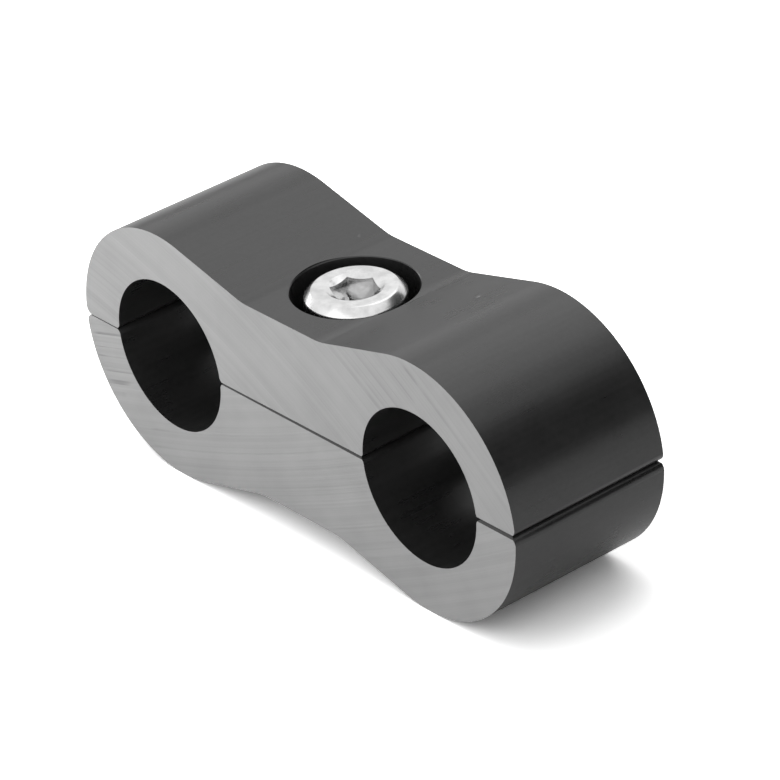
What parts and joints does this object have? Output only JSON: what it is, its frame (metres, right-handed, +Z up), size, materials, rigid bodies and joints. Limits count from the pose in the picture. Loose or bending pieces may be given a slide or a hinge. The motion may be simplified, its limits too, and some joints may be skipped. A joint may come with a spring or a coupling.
{
  "type": "hose separator clamp",
  "caption": "Split aluminium clamp that holds hoses side by side, with a narrow waist and a recessed socket cap screw that draws its halves together.",
  "frame": {"origin": "middle of the clamp: on the plane where the halves meet, on the screw's axis, halfway along the bores", "axes": "+X along the clamp from bore to bore, +Y along the hose bores, +Z up the screw towards its head"},
  "size_m": [0.0444, 0.0126, 0.0184],
  "materials": {
    "black_anodised": "satin black anodised on the drawn surfaces and in the bores, with paler saw-cut end faces",
    "bright_screw": "bright plated steel, with a knurled head side and a hexagon socket"
  },
  "bodies": {
    "lower_half": {"lower_half": "black_anodised"},
    "upper_half": {"upper_half": "black_anodised"},
    "clamp_screw": {"clamp_screw": "bright_screw"}
  },
  "joints": [
    {"name": "half_lift", "type": "slide", "parent": "lower_half", "child": "upper_half", "axis": [0, 0, 1], "range_m": [0, 0.0063]},
    {"name": "screw_turn", "type": "hinge", "parent": "upper_half", "child": "clamp_screw", "pos_m": [0, 0, 0.0034], "axis": [0, 0, 1], "range_deg": [0, 3240]}
  ],
  "couplings": [
    {"joint": "screw_turn", "follows": "half_lift", "rad_per_m": 8976}
  ]
}
